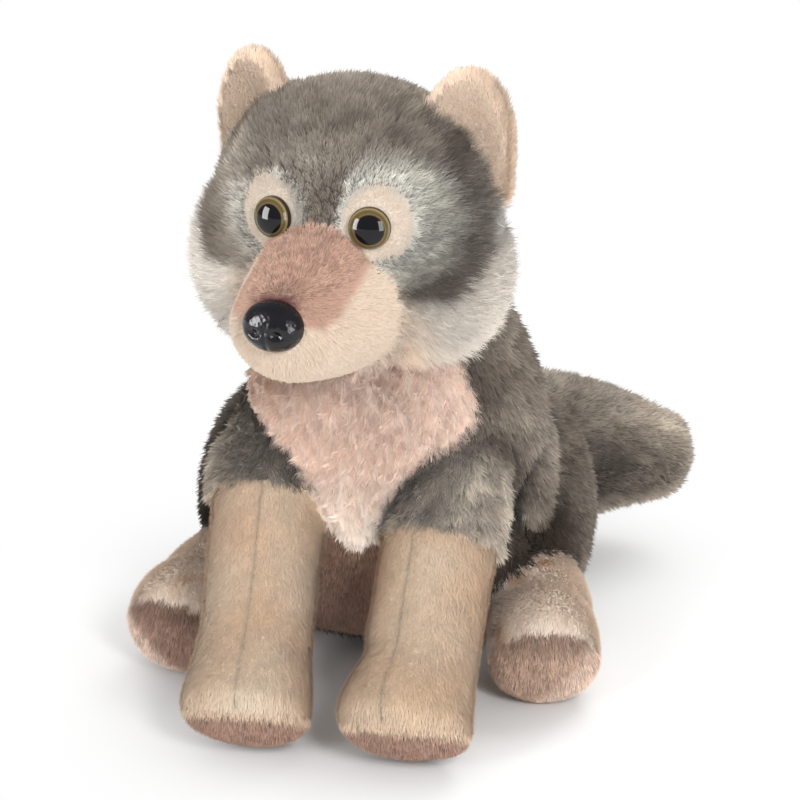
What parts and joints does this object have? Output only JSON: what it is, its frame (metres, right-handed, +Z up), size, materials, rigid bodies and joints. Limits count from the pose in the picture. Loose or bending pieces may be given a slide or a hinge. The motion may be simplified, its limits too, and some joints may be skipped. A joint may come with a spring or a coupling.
{
  "type": "plush wolf",
  "caption": "Seated plush wolf with a mottled grey coat, cream muzzle, ruff and legs, rose bib, brown soles, plastic eyes and nose, upright ears and a thick tail",
  "frame": {"origin": "on the floor, at the centre of the torso's flat seat", "axes": "+X to the wolf's left, -Y the way its body faces, +Z up"},
  "size_m": [0.2366, 0.318, 0.2911],
  "materials": {
    "grey_plush": "long mottled pile, matt",
    "cream_plush": "short and long cream pile, matt",
    "rose_plush": "long tufted pile, matt",
    "brown_plush": "short pile with pale tips, matt",
    "black_plastic": "glossy moulded",
    "amber_plastic": "clear domed over an amber ring and a black pupil"
  },
  "bodies": {
    "root": {"belly_panel": "brown_plush", "bib": "rose_plush", "cheek_left": "cream_plush", "cheek_right": "cream_plush", "ear_back_left": "grey_plush", "ear_back_right": "grey_plush", "ear_lining_left": "cream_plush", "ear_lining_right": "cream_plush", "eye_left": "amber_plastic", "eye_patch_left": "cream_plush", "eye_patch_right": "cream_plush", "eye_right": "amber_plastic", "foreleg_left": "cream_plush", "foreleg_right": "cream_plush", "foreleg_sleeve_left": "grey_plush", "foreleg_sleeve_right": "grey_plush", "forepaw_sole_left": "brown_plush", "forepaw_sole_right": "brown_plush", "haunch_left": "grey_plush", "haunch_right": "grey_plush", "head_crown": "grey_plush", "hind_foot_left": "cream_plush", "hind_foot_right": "cream_plush", "hind_sole_left": "brown_plush", "hind_sole_right": "brown_plush", "muzzle": "cream_plush", "muzzle_bridge": "brown_plush", "nose": "black_plastic", "tail": "grey_plush", "torso": "grey_plush"}
  },
  "joints": []
}
